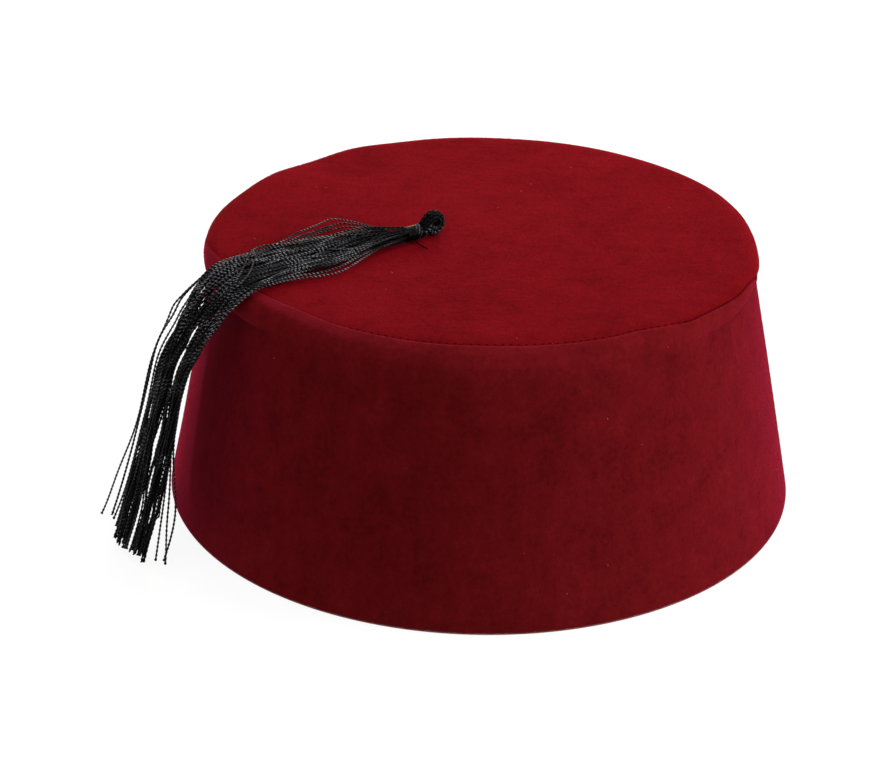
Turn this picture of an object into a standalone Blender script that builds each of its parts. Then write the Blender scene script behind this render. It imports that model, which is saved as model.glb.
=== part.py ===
"""A squat fez of red felt with a corded tassel draped over its edge.

Metres, +Z up. The hat stands on z = 0 with its axis on x = y = 0, and its front faces -Y.
A bearing is an angle in degrees round that axis from +X, anticlockwise seen from above.
"""

import math
from collections import namedtuple

import bmesh
import bpy
from mathutils import Vector

# Sizes of the hat
HEAD_GIRTH = 0.582      # round the inside of the base, hat size 58
FELT = 0.0024           # thickness of the felt
RIM_RADIUS = 0.0804     # outside of the side band where it meets the rolled edge
CROWN_HEIGHT = 0.0802   # base to the flat of the top
ROLL_RADIUS = 0.0045    # outside radius of the rolled edge
ROLL_PROUD = 0.0024     # how far the roll stands out past the side band at most
SEAM_INSET = 0.0022     # how far in past the roll the seam runs at the front
SEAM_GAP = 0.0003       # between the side band and the top disc

# Sizes of the tassel
HEAD_AT = (-0.0152, 0.0006)   # plan place of the folded head on the top disc
CORD = 0.0010           # thickness of one twisted strand
REST_GAP = 0.0003       # between the tassel and the felt under it
CLEARANCE = 0.0003      # between the tassel's own pieces
LOOP_RADIUS = 0.0023    # middle of the folded head's ring
LOOP_CORD = 0.0016      # radius of the cord bunch in the ring
BINDING_LENGTH = 0.0055 # of the wound thread below the head
BINDING_RADIUS = 0.0023
BINDING_WALL = 0.0007   # thickness of the wound thread
FAN_WIDTH = 0.0270      # breadth of the skirt where it is fullest
LOCK_SHARE = 0.24       # breadth of one lock as a share of the skirt's breadth beside it
LOCK_THICKNESS = 0.0022
LAYER_STEP = 0.0010     # between the lower and the upper layer of locks
DRAPE_BEARING = -151.0  # where the skirt crosses the rolled edge
TASSEL_STAND = 0.0208   # how far the tips stand off the side band
STAND_FLARE = 0.09      # how much further, as a share, the tips at the left edge stand off
TIP_HEIGHT = 0.0032     # middle of the tips above the base

STEM_FLARE = 1.4        # how much broader the stem is where it meets the locks
BINDING_WAIST = 0.0002  # how much slimmer the binding is at its ends

# Fineness of the faceted forms
SHARP_EDGE = 42         # degrees
ROUND_FACES = 64
BAND_ROWS = 2
ROLL_ROWS = 5
TOP_ROWS = 7
LOCK_SIDES = 6
PATH_STEPS = 2
RING_STEPS = 16
RING_SIDES = 8

# Round the rim: where the seam runs on the roll, from 0 at its foot to 1 on the flat of the top,
# and how far the roll stands out, as a share of ROLL_PROUD.
RimRow = namedtuple("RimRow", "bearing seam proud")
RIM = (
    RimRow(0.0, 0.05, 0.50),
    RimRow(30.0, 0.05, 1.15),
    RimRow(60.0, 0.06, 0.85),
    RimRow(85.0, 0.08, 0.65),
    RimRow(125.0, 0.15, 0.60),
    RimRow(172.0, 0.35, 1.00),
    RimRow(202.0, 0.80, 0.75),
    RimRow(228.0, 0.97, 0.20),
    RimRow(270.0, 1.00, 0.00),
    RimRow(303.0, 0.86, 0.10),
    RimRow(320.0, 0.55, 0.30),
    RimRow(340.0, 0.42, 0.45),
)

# The skirt's way over the top disc: share of the way from the binding to the rim, breadth and
# sideways bow of the fan as shares of FAN_WIDTH.
RunRow = namedtuple("RunRow", "run breadth bow")
RUN = (
    RunRow(0.00, 0.14, 0.00),
    RunRow(0.12, 0.38, 0.02),
    RunRow(0.30, 0.78, 0.09),
    RunRow(0.52, 1.00, 0.15),
    RunRow(0.76, 0.92, 0.13),
    RunRow(1.00, 0.84, 0.05),
)

# The skirt's fall: height as a share of CROWN_HEIGHT, distance from the side band as a share of
# TASSEL_STAND, breadth of the fan as a share of FAN_WIDTH, and how full each lock is.
FallRow = namedtuple("FallRow", "height stand breadth full")
FALL = (
    FallRow(0.985, 0.46, 0.80, 1.00),
    FallRow(0.930, 0.54, 0.77, 1.00),
    FallRow(0.850, 0.63, 0.75, 0.98),
    FallRow(0.700, 0.79, 0.74, 0.92),
    FallRow(0.450, 0.85, 0.77, 0.84),
    FallRow(0.200, 0.92, 0.83, 0.74),
    FallRow(0.000, 1.00, 0.92, 0.60),
)

# The locks: place across the fan from -1 at the front to 1 at the left, layer from 0 below to 1
# above, breadth as a share of a full lock, and length of the fall as a share of the whole.
LockRow = namedtuple("LockRow", "across layer breadth length")
LOCKS = (
    LockRow(-0.80, 0.0, 0.90, 0.98),
    LockRow(-0.48, 0.0, 1.00, 1.00),
    LockRow(-0.16, 0.0, 1.00, 0.98),
    LockRow(0.16, 0.0, 1.00, 1.00),
    LockRow(0.48, 0.0, 1.00, 0.98),
    LockRow(0.80, 0.0, 0.90, 0.96),
    LockRow(-0.64, 1.0, 0.85, 0.99),
    LockRow(-0.32, 1.0, 1.00, 0.97),
    LockRow(0.00, 1.0, 1.00, 1.00),
    LockRow(0.32, 1.0, 1.00, 0.98),
    LockRow(0.64, 1.0, 0.85, 0.97),
    LockRow(1.25, 0.5, 0.35, 0.95),
)

BASE_RADIUS = HEAD_GIRTH / math.tau + FELT
ROLL_HEIGHT = CROWN_HEIGHT - ROLL_RADIUS
STEM_RADIUS = BINDING_RADIUS - BINDING_WALL - CLEARANCE


def clear_scene():
    """Removes what the scene starts with."""
    for obj in list(bpy.data.objects):
        bpy.data.objects.remove(obj)


def eased(share):
    """A share from 0 to 1 that starts and ends gently."""
    return share * share * (3 - 2 * share)


def principled(name, colour, roughness):
    """A plain material of one colour."""
    material = bpy.data.materials.new(name)
    material.use_nodes = True
    shader = material.node_tree.nodes["Principled BSDF"]
    shader.inputs["Base Color"].default_value = colour
    shader.inputs["Roughness"].default_value = roughness
    shader.inputs["Metallic"].default_value = 0.0
    return material


def make_object(name, shape, material, helper=False):
    """Turns a bmesh into an object of the scene, facing out and smooth but for its hard edges."""
    bmesh.ops.recalc_face_normals(shape, faces=shape.faces)
    mesh = bpy.data.meshes.new(name)
    shape.to_mesh(mesh)
    shape.free()
    mesh.shade_smooth()
    mesh.set_sharp_from_angle(angle=math.radians(SHARP_EDGE))
    mesh.materials.append(material)
    obj = bpy.data.objects.new(name, mesh)
    bpy.context.scene.collection.objects.link(obj)
    if helper:
        obj.hide_render = True
        obj.display_type = "WIRE"
    return obj


def band_radius(height):
    """Outside radius of the tapered side band at a height."""
    return BASE_RADIUS + (RIM_RADIUS - BASE_RADIUS) * height / ROLL_HEIGHT


def rim_at(bearing):
    """The rim's row at a bearing, eased between the rows of its table."""
    bearing %= 360.0
    before = [row for row in RIM if row.bearing <= bearing][-1]
    later = [row for row in RIM if row.bearing > bearing]
    after = later[0] if later else RIM[0]._replace(bearing=360.0)
    share = eased((bearing - before.bearing) / (after.bearing - before.bearing))
    return RimRow(
        bearing,
        before.seam + (after.seam - before.seam) * share,
        before.proud + (after.proud - before.proud) * share,
    )


class RolledEdge:
    """The outside of the rolled edge at one bearing, measured along from its foot."""

    def __init__(self, bearing):
        row = rim_at(bearing)
        self.start = -math.acos(1 - ROLL_PROUD * row.proud / ROLL_RADIUS)
        self.foot_height = ROLL_HEIGHT + ROLL_RADIUS * math.sin(self.start)
        self.centre_radius = band_radius(self.foot_height) - ROLL_RADIUS * math.cos(self.start)
        self.arc = ROLL_RADIUS * (math.pi / 2 - self.start)
        self.seam = (self.arc + SEAM_INSET) * row.seam

    def point(self, along, depth):
        """Radius and height at a length along the roll and a depth under its surface."""
        if along > self.arc:
            return self.centre_radius - (along - self.arc), CROWN_HEIGHT - depth
        angle = self.start + along / ROLL_RADIUS
        reach = ROLL_RADIUS - depth
        return (
            self.centre_radius + reach * math.cos(angle),
            ROLL_HEIGHT + reach * math.sin(angle),
        )


def place(bearing, radius, height):
    """A point from its bearing, radius and height."""
    angle = math.radians(bearing)
    return Vector((radius * math.cos(angle), radius * math.sin(angle), height))


def side_profile(bearing):
    """The side band's section at a bearing, as a closed run of radius and height."""
    edge = RolledEdge(bearing)
    end = edge.seam - SEAM_GAP / 2
    heights = [edge.foot_height * row / BAND_ROWS for row in range(BAND_ROWS)]
    lengths = [end * row / ROLL_ROWS for row in range(ROLL_ROWS + 1)]
    outside = [(band_radius(height), height) for height in heights]
    outside += [edge.point(along, 0.0) for along in lengths]
    inside = [edge.point(along, FELT) for along in reversed(lengths)]
    shoulder = edge.foot_height - FELT
    inside += [(band_radius(shoulder) - FELT, shoulder)]
    inside += [(band_radius(height) - FELT, height) for height in reversed(heights)]
    return outside + inside


def make_side_band(felt):
    """The tapered band, open below, with the roll that it turns over at the front."""
    shape = bmesh.new()
    rings = []
    for face in range(ROUND_FACES):
        bearing = 360.0 * face / ROUND_FACES
        rings.append([shape.verts.new(place(bearing, *spot)) for spot in side_profile(bearing)])
    for ring, following in zip(rings, rings[1:] + rings[:1]):
        for spot in range(len(ring)):
            before = spot - 1
            shape.faces.new((ring[before], ring[spot], following[spot], following[before]))
    return make_object("crown_side", shape, felt)


def top_rows(bearing):
    """The top disc's points at a bearing, outside and inside, from the seam inwards."""
    edge = RolledEdge(bearing)
    start = edge.seam + SEAM_GAP / 2
    end = edge.arc + SEAM_INSET + ROLL_RADIUS
    lengths = [start + (end - start) * row / TOP_ROWS for row in range(TOP_ROWS + 1)]
    outside = [edge.point(along, 0.0) for along in lengths]
    inside = [edge.point(along, FELT) for along in lengths]
    return outside, inside


def make_top_disc(felt):
    """The flat round top with its edge turned down to the seam."""
    shape = bmesh.new()
    crown = shape.verts.new((0.0, 0.0, CROWN_HEIGHT))
    underside = shape.verts.new((0.0, 0.0, CROWN_HEIGHT - FELT))
    columns = []
    for face in range(ROUND_FACES):
        bearing = 360.0 * face / ROUND_FACES
        outside, inside = top_rows(bearing)
        run = list(reversed(outside)) + inside
        columns.append([shape.verts.new(place(bearing, *spot)) for spot in run])
    for column, following in zip(columns, columns[1:] + columns[:1]):
        shape.faces.new((crown, column[0], following[0]))
        for spot in range(1, len(column)):
            before = spot - 1
            shape.faces.new((column[before], column[spot], following[spot], following[before]))
        shape.faces.new((underside, following[-1], column[-1]))
    return make_object("crown_top", shape, felt)


def plan_direction():
    """The way that the tassel lies over the top disc, and the direction across it."""
    rim = place(DRAPE_BEARING, RIM_RADIUS, 0.0)
    along = (rim - Vector((*HEAD_AT, 0.0))).normalized()
    return along, Vector((along.y, -along.x, 0.0))


def sweep(shape, centres, sides, ups, halves, faces):
    """Adds a closed tube of oval rings along a path."""
    rings = []
    for centre, side, up, (half_side, half_up) in zip(centres, sides, ups, halves):
        ring = []
        for face in range(faces):
            angle = math.tau * (face + 0.5) / faces
            spot = side * (half_side * math.cos(angle)) + up * (half_up * math.sin(angle))
            ring.append(shape.verts.new(centre + spot))
        rings.append(ring)
    for ring, following in zip(rings, rings[1:]):
        for spot in range(faces):
            before = spot - 1
            shape.faces.new((ring[before], ring[spot], following[spot], following[before]))
    shape.faces.new(rings[0])
    shape.faces.new(rings[-1])


def make_loop(cord):
    """The tassel's folded head: a thick upright ring of cords, standing on the top disc."""
    along, across = plan_direction()
    rise = CROWN_HEIGHT + REST_GAP + LOOP_CORD + LOOP_RADIUS
    middle = Vector((*HEAD_AT, rise))
    shape = bmesh.new()
    rings = []
    for step in range(RING_STEPS):
        angle = math.tau * step / RING_STEPS
        outward = along * math.cos(angle) + Vector((0.0, 0.0, math.sin(angle)))
        ring = []
        for face in range(RING_SIDES):
            turn = math.tau * (face + 0.5) / RING_SIDES
            reach = LOOP_RADIUS + LOOP_CORD * math.cos(turn)
            spot = outward * reach + across * (LOOP_CORD * math.sin(turn))
            ring.append(shape.verts.new(middle + spot))
        rings.append(ring)
    for ring, following in zip(rings, rings[1:] + rings[:1]):
        for spot in range(RING_SIDES):
            before = spot - 1
            shape.faces.new((ring[before], ring[spot], following[spot], following[before]))
    return make_object("tassel_loop", shape, cord)


def binding_span():
    """Where the binding starts and ends, as distances from the middle of the head."""
    start = LOOP_RADIUS + LOOP_CORD + 2 * CLEARANCE
    return start, start + BINDING_LENGTH


def stem_point(distance):
    """A point on the stem's axis at a distance from the middle of the head."""
    along, _ = plan_direction()
    height = CROWN_HEIGHT + REST_GAP + BINDING_RADIUS
    return Vector((*HEAD_AT, height)) + along * distance


def make_binding(cord):
    """The wound thread that holds the cords together under the head."""
    _, across = plan_direction()
    up = Vector((0.0, 0.0, 1.0))
    start, end = binding_span()
    inner = BINDING_RADIUS - BINDING_WALL
    section = (
        (start, BINDING_RADIUS - BINDING_WAIST),
        ((start + end) / 2, BINDING_RADIUS),
        (end, BINDING_RADIUS - BINDING_WAIST),
        (end, inner),
        (start, inner),
    )
    shape = bmesh.new()
    rings = []
    for face in range(RING_STEPS):
        angle = math.tau * (face + 0.5) / RING_STEPS
        outward = across * math.cos(angle) + up * math.sin(angle)
        rings.append([shape.verts.new(stem_point(far) + outward * reach) for far, reach in section])
    for ring, following in zip(rings, rings[1:] + rings[:1]):
        for spot in range(len(ring)):
            before = spot - 1
            shape.faces.new((ring[before], ring[spot], following[spot], following[before]))
    return make_object("tassel_binding", shape, cord)


def smooth_through(rows):
    """Rows of numbers with PATH_STEPS in place of each span, on a smooth curve through them all."""
    out = []
    for here in range(len(rows) - 1):
        a = rows[max(here - 1, 0)]
        b = rows[here]
        c = rows[here + 1]
        d = rows[min(here + 2, len(rows) - 1)]
        for step in range(PATH_STEPS):
            t = step / PATH_STEPS
            out.append([
                q + 0.5 * t * (r - p + t * (2 * p - 5 * q + 4 * r - s + t * (3 * (q - r) + s - p)))
                for p, q, r, s in zip(a, b, c, d)
            ])
    return out + [list(rows[-1])]


def lock_path(lock):
    """Centres, half breadths and half thicknesses along one lock of the skirt."""
    _, across = plan_direction()
    _, binding_end = binding_span()
    edge = RolledEdge(DRAPE_BEARING)
    start = stem_point(binding_end + CLEARANCE)
    lift = CROWN_HEIGHT + REST_GAP + LOCK_THICKNESS / 2 + lock.layer * LAYER_STEP
    rim = place(DRAPE_BEARING, edge.centre_radius, lift)
    rows = []
    for row in RUN:
        gather = eased(min(row.run / RUN[2].run, 1.0))
        height = start.z + (lift - start.z) * gather
        fan = row.breadth * FAN_WIDTH
        spot = start.lerp(rim, row.run) + across * (row.bow * FAN_WIDTH + fan / 2 * lock.across)
        half = fan / 2 * LOCK_SHARE * lock.breadth
        rows.append((spot.x, spot.y, height, max(half, CORD), LOCK_THICKNESS / 2))
    for row in FALL:
        fallen = (1 - row.height) * lock.length
        height = CROWN_HEIGHT * (1 - fallen) + TIP_HEIGHT * fallen
        stand = row.stand * TASSEL_STAND * (1 + STAND_FLARE * lock.across)
        radius = band_radius(height) + stand + (lock.layer - 0.5) * LAYER_STEP
        fan = row.breadth * FAN_WIDTH
        turn = math.degrees(fan / 2 * lock.across / radius)
        spot = place(DRAPE_BEARING - turn, radius, height)
        half = fan / 2 * LOCK_SHARE * lock.breadth * row.full
        rows.append((*spot, max(half, CORD), LOCK_THICKNESS / 2 * row.full))
    path = smooth_through(rows)
    centres = [Vector(row[:3]) for row in path]
    halves = [(row[3], row[4]) for row in path]
    return centres, halves


def make_lock(number, lock, cord):
    """One lock as a closed flat-oval tube, square to its own path."""
    centres, halves = lock_path(lock)
    _, across = plan_direction()
    sides, ups = [], []
    for spot in range(len(centres)):
        ahead = centres[min(spot + 1, len(centres) - 1)] - centres[max(spot - 1, 0)]
        side = (across - ahead * (across.dot(ahead) / ahead.length_squared)).normalized()
        sides.append(side)
        ups.append(side.cross(ahead).normalized())
    shape = bmesh.new()
    sweep(shape, centres, sides, ups, halves, LOCK_SIDES)
    return make_object(f"lock_{number:02d}", shape, cord, helper=True)


def make_skirt(cord):
    """The stem through the binding with the locks fused to it."""
    _, across = plan_direction()
    up = Vector((0.0, 0.0, 1.0))
    start, end = binding_span()
    far = end + BINDING_LENGTH
    stations = (start, end + CLEARANCE, (end + far) / 2, far)
    halves = (
        (STEM_RADIUS, STEM_RADIUS),
        (STEM_RADIUS, STEM_RADIUS),
        (BINDING_RADIUS, STEM_RADIUS),
        (BINDING_RADIUS * STEM_FLARE, STEM_RADIUS),
    )
    shape = bmesh.new()
    centres = [stem_point(distance) for distance in stations]
    sweep(shape, centres, [across] * len(centres), [up] * len(centres), halves, RING_SIDES)
    skirt = make_object("tassel_skirt", shape, cord)
    locks = bpy.data.collections.new("skirt_locks")
    bpy.context.scene.collection.children.link(locks)
    for number, lock in enumerate(LOCKS, 1):
        obj = make_lock(number, lock, cord)
        bpy.context.scene.collection.objects.unlink(obj)
        locks.objects.link(obj)
    fuse = skirt.modifiers.new("fuse_locks", "BOOLEAN")
    fuse.operation = "UNION"
    fuse.solver = "EXACT"
    fuse.use_self = True
    fuse.operand_type = "COLLECTION"
    fuse.collection = locks
    return skirt


def main():
    clear_scene()
    felt = principled("red_felt", (0.190, 0.006, 0.010, 1.0), 0.95)
    cord = principled("dark_cord", (0.022, 0.019, 0.022, 1.0), 0.55)
    make_side_band(felt)
    make_top_disc(felt)
    make_loop(cord)
    make_binding(cord)
    make_skirt(cord)


main()
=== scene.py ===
"""The looks of a squat red felt fez with a dark corded tassel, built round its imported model.

Metres, +Z up. The hat stands on z = 0 with its axis on x = y = 0, and its front faces -Y. A bearing
is an angle in degrees round that axis from +X, anticlockwise seen from above.
"""

import logging
import math
from collections.abc import Callable, Iterable, Sequence
from dataclasses import asdict, dataclass, field
from enum import Enum
from typing import Any, NamedTuple

import bmesh
import bpy
import numpy as np
from mathutils import Matrix, Vector


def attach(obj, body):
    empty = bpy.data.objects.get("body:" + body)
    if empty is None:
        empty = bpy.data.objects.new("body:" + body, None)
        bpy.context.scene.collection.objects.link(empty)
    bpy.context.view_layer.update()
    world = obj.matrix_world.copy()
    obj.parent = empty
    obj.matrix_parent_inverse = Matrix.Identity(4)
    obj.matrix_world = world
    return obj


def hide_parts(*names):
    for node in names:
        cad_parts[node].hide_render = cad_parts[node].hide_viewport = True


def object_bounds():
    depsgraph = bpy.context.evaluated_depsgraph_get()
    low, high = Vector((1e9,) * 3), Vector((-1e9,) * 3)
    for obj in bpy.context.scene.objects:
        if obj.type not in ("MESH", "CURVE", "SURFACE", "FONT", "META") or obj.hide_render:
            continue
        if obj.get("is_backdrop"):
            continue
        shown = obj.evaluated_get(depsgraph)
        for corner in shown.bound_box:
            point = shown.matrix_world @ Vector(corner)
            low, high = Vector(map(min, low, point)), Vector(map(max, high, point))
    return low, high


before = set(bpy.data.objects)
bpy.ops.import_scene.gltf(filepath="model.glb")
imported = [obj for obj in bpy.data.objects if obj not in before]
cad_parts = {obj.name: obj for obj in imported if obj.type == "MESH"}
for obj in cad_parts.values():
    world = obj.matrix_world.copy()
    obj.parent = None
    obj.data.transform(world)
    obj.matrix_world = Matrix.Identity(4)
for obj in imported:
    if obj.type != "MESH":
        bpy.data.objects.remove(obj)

Array = np.ndarray
Colour = tuple[float, float, float, float]
Place = tuple[float, float, float]

CAD_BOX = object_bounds()
MM = 0.001
log = logging.getLogger("fez")


# Nodes


def maths(operation: str, swapped: bool = False) -> Callable[..., "Wire"]:
    """Makes a method of Wire that adds one Math node.

    Args:
        operation: The node's operation.
        swapped: Whether the wire is the node's last term and not its first.

    Returns:
        The method, which takes the other terms, if any, and gives the node's wire.
    """

    def method(wire: "Wire", *others: "Wire | float") -> "Wire":
        """Adds the node."""
        terms = (*others, wire) if swapped else (wire, *others)
        return wire.graph.add("ShaderNodeMath", *terms, settings={"operation": operation})

    return method


@dataclass(frozen=True)
class Wire:
    """An output socket, on which plain arithmetic adds Math nodes."""

    graph: "Graph"
    socket: Any

    __add__ = __radd__ = maths("ADD")
    __sub__, __rsub__ = maths("SUBTRACT"), maths("SUBTRACT", True)
    __mul__ = __rmul__ = maths("MULTIPLY")
    __truediv__, __rtruediv__ = maths("DIVIDE"), maths("DIVIDE", True)
    sine = maths("SINE")
    angle_to = maths("ARCTAN2")

    def ramped(self, low: float, high: float) -> "Wire":
        """Rises gently from 0 at low to 1 at high, or falls where low is the greater."""
        ends = {"From_Min": low, "From_Max": high, "settings": {"interpolation_type": "SMOOTHSTEP"}}
        return self.graph.add("ShaderNodeMapRange", Value=self, **ends)

    def other(self, name: str) -> "Wire":
        """Another output of the same node."""
        return Wire(self.graph, self.graph.socket(self.socket.node.outputs, name))


@dataclass(frozen=True)
class Graph:
    """Adds nodes to one tree: settings first, then what goes into the sockets."""

    tree: Any

    @staticmethod
    def socket(sockets: Any, key: "int | str | None") -> Any:
        """The socket at an index, or else the first in use that has the name, if one is given."""
        if isinstance(key, int):
            return sockets[key]
        return next(found for found in sockets if found.enabled and key in (None, found.name))

    def add(
        self,
        kind: str,
        *terms: Any,
        settings: "dict[str, Any] | None" = None,
        outlet: "str | None" = None,
        **named: Any,
    ) -> Wire:
        """Adds one node.

        Args:
            kind: The node's type.
            terms: Values or wires for its sockets in order.
            settings: Its properties.
            outlet: The output wanted, or nothing for the first in use.
            named: Values or wires for its sockets by name, with _ for each space.

        Returns:
            The wire from that output.
        """
        node = self.tree.nodes.new(kind)
        for name, value in (settings or {}).items():
            setattr(node, name, value)
        inputs = {name.replace("_", " "): value for name, value in named.items()}
        for key, value in {**dict(enumerate(terms)), **inputs}.items():
            self.feed(self.socket(node.inputs, key), value)
        return Wire(self, self.socket(node.outputs, outlet))

    def feed(self, socket: Any, value: Any) -> None:
        """Sets a socket to a value, or links a wire to it."""
        if isinstance(value, Wire):
            self.tree.links.new(value.socket, socket)
        else:
            socket.default_value = value

    def blend(self, share: "Wire | float", first: Any, second: Any) -> Wire:
        """Mixes two colours by a share from 0 to 1."""
        settings = {"data_type": "RGBA"}
        return self.add("ShaderNodeMix", settings=settings, Factor=share, A=first, B=second)

    def vector(self, operation: str, *terms: Any, **named: Any) -> Wire:
        """Adds one Vector Math node over the terms."""
        return self.add("ShaderNodeVectorMath", *terms, settings={"operation": operation}, **named)

    def parts(self, whole: Wire) -> tuple[Wire, Wire, Wire]:
        """The three parts of a vector."""
        first = self.add("ShaderNodeSeparateXYZ", Vector=whole)
        return first, first.other("Y"), first.other("Z")

    def noise(self, where: Wire, size: float, detail: float = 2.0, bend: float = 0.0) -> Wire:
        """Soft noise whose patches are about one size across."""
        form = {"Scale": 1 / size, "Detail": detail, "Distortion": bend}
        return self.add("ShaderNodeTexNoise", Vector=where, **form)

    def random_vector(self, spread: "Wire | float", seed: "Wire | int") -> Wire:
        """A random vector for each point, each part up to half the spread either way."""
        half = {"Min": (-0.5, -0.5, -0.5), "Max": (0.5, 0.5, 0.5), "Seed": seed}
        unit = self.add("FunctionNodeRandomValue", settings={"data_type": "FLOAT_VECTOR"}, **half)
        return self.vector("SCALE", unit, Scale=spread)


class Surface:
    """A new material with its Principled shader, ready for its pattern."""

    def __init__(self, name: str) -> None:
        """Makes the material."""
        self.material = bpy.data.materials.new(name)
        self.material.use_nodes = True
        self.graph = Graph(self.material.node_tree)
        self.shader = self.graph.tree.nodes["Principled BSDF"]
        self.place = self.graph.add("ShaderNodeTexCoord", outlet="Object")

    def column(self, label: str, outlet: str = "Fac") -> Wire:
        """What the mesh carries on its points under a name."""
        settings = {"attribute_name": label}
        return self.graph.add("ShaderNodeAttribute", settings=settings, outlet=outlet)

    def set(self, **sockets: Any) -> None:
        """Sets or links shader sockets, named with _ for each space."""
        for name, value in sockets.items():
            self.graph.feed(self.shader.inputs[name.replace("_", " ")], value)

    def bump(self, height: Wire, distance: float, strength: float) -> None:
        """Raises the surface by a height from 0 to 1."""
        size = {"Distance": distance, "Strength": strength}
        self.set(Normal=self.graph.add("ShaderNodeBump", Height=height, **size))


class Growth:
    """A geometry node tree with named inputs, and what grows from it."""

    KINDS = {float: "NodeSocketFloat", int: "NodeSocketInt", tuple: "NodeSocketVector"}

    def __init__(self, name: str, **sizes: Any) -> None:
        """Makes the tree with a geometry input, one input per size and a material."""
        self.tree = bpy.data.node_groups.new(name, "GeometryNodeTree")
        self.graph = Graph(self.tree)
        self.values = dict(sizes)
        inlets = {label: self.KINDS[type(value)] for label, value in sizes.items()}
        inlets = {"Geometry": "NodeSocketGeometry", **inlets, "finish": "NodeSocketMaterial"}
        for label, kind in inlets.items():
            self.tree.interface.new_socket(label, in_out="INPUT", socket_type=kind)
        outlet = {"in_out": "OUTPUT", "socket_type": "NodeSocketGeometry"}
        self.tree.interface.new_socket("Geometry", **outlet)
        self.entry = self.graph.add("NodeGroupInput")

    def size(self, label: str) -> Wire:
        """The wire of a named input."""
        return self.entry.other(label)

    def add(self, kind: str, **named: Any) -> Wire:
        """Adds one geometry node, whose type is given without its prefix."""
        return self.graph.add("GeometryNode" + kind, **named)

    def store(self, shape: Wire, label: str, value: Wire, kind: str = "FLOAT") -> Wire:
        """Has a shape carry a value on its points under a name."""
        settings = {"data_type": kind, "domain": "POINT"}
        named = {"Geometry": shape, "Name": label, "Value": value}
        return self.add("StoreNamedAttribute", settings=settings, **named)

    def strew(self, points: Wire, copy: Wire, way: Wire) -> None:
        """Sets a copy on each point, turned to face a way, and ends the tree."""
        upright = {"settings": {"axis": "Z"}, "Vector": way}
        turn = self.graph.add("FunctionNodeAlignRotationToVector", **upright)
        self.close(self.add("InstanceOnPoints", Points=points, Instance=copy, Rotation=turn))

    def sweep(self, curve: Wire, ring: Wire, scale: Wire) -> None:
        """Has a line carry its length so far, sweeps a ring along it and ends the tree."""
        curve = self.store(curve, "along", self.add("SplineParameter", outlet="Length"))
        named = {"Curve": curve, "Profile_Curve": ring, "Scale": scale, "Fill_Caps": True}
        self.close(self.add("CurveToMesh", **named))

    def close(self, shape: Wire) -> None:
        """Realizes the copies, gives them the finish and ends the tree.

        Args:
            shape: What has grown.
        """
        smooth = self.add("SetShadeSmooth", Geometry=shape)
        real = self.add("RealizeInstances", Geometry=smooth)
        dressed = self.add("SetMaterial", Geometry=real, Material=self.size("finish"))
        end = self.tree.nodes.new("NodeGroupOutput")
        self.graph.feed(end.inputs["Geometry"], dressed)

    def grow(self, name: str, host: Any, finish: Any) -> Any:
        """Runs the tree on a mesh.

        Args:
            name: The new piece's name.
            host: The mesh that the tree starts from.
            finish: The material.

        Returns:
            The piece, as an object with a plain mesh and no modifier.
        """
        piece = add_object(name, host)
        modifier = piece.modifiers.new("growth", "NODES")
        modifier.node_group = self.tree
        values = {**self.values, "finish": finish}
        for port in self.tree.interface.items_tree:
            if port.in_out == "INPUT" and port.name in values:
                modifier[port.identifier] = values[port.name]
        graph = bpy.context.evaluated_depsgraph_get()
        mesh = bpy.data.meshes.new_from_object(piece.evaluated_get(graph))
        piece.modifiers.clear()
        piece.data = mesh
        mesh.name = name
        mesh.materials.clear()  # an empty slot of the copied shape's goes too
        mesh.materials.append(finish)
        bpy.data.meshes.remove(host)
        return piece


# Meshes


def add_object(name: str, mesh: Any) -> Any:
    """Adds an object to the scene.

    Args:
        name: Its name.
        mesh: Its mesh, or a lamp's or camera's data.

    Returns:
        The object.
    """
    found = bpy.data.objects.new(name, mesh)
    bpy.context.scene.collection.objects.link(found)
    return found


def polar(bearings: Array, radius: Array, height: Array) -> Array:
    """Points from bearings in degrees, radii and heights of the same shape."""
    angle = np.radians(np.broadcast_to(bearings, radius.shape))
    return np.stack([radius * np.cos(angle), radius * np.sin(angle), height], axis=-1)


def loft(name: str, rows: Array, closed: bool, poles: bool) -> Any:
    """Joins rows of points, each a ring, into a smooth mesh.

    Args:
        name: The mesh's name.
        rows: Points by row and place in the ring, the rows going up the outside first.
        closed: Whether the last row joins the first.
        poles: Whether the first and last rows are closed to a point at their middle.

    Returns:
        The mesh, facing out.
    """
    count, around = rows.shape[:2]
    points = rows.reshape(-1, 3)
    here = np.arange(around)
    nearby = (here + 1) % around
    faces: list[tuple[int, ...]] = []
    for row in range(count if closed else count - 1):
        low, high = row * around, (row + 1) % count * around
        faces += zip(low + here, low + nearby, high + nearby, high + here)
    if poles:
        ends = np.stack([rows[0].mean(0), rows[-1].mean(0)])
        points = np.vstack([points, ends])
        first, last = len(points) - 2, len(points) - 1
        top = (count - 1) * around
        faces += zip(nearby, here, np.full(around, first))
        faces += zip(top + here, top + nearby, np.full(around, last))
    mesh = bpy.data.meshes.new(name)
    mesh.from_pydata(points.tolist(), [], [tuple(map(int, face)) for face in faces])
    mesh.shade_smooth()
    return mesh


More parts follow.
